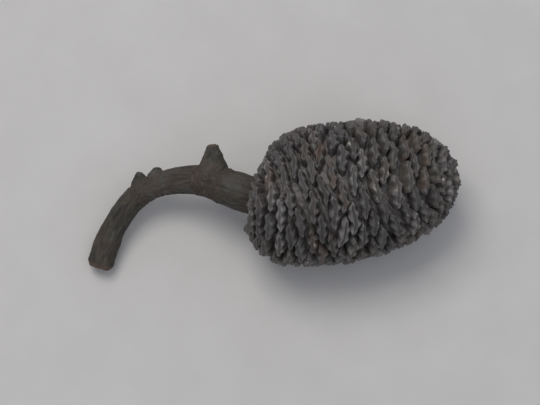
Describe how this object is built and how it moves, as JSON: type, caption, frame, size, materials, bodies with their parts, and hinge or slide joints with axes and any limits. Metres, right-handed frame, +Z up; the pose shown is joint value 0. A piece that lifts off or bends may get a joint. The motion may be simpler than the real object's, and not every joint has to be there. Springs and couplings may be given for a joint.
{
  "type": "alder cone",
  "caption": "Dry woody alder cone lying on its side: an egg-shaped head of open, lobed scales in a spiral, on a short bent stalk with a broken side stub.",
  "frame": {"origin": "under the middle of the cone's box, at the height of the surface that it lies on", "axes": "+X along the head from its stalk to its tip, +Z up from the surface that the cone lies on"},
  "size_m": [0.0358, 0.0136, 0.0132],
  "materials": {
    "scale_wood": "dry, dark brown, matt, with paler worn rims",
    "stalk_bark": "dry, dark olive-brown bark, matt, wrinkled lengthways"
  },
  "bodies": {
    "root": {"head": "scale_wood", "stalk": "stalk_bark"}
  },
  "joints": []
}
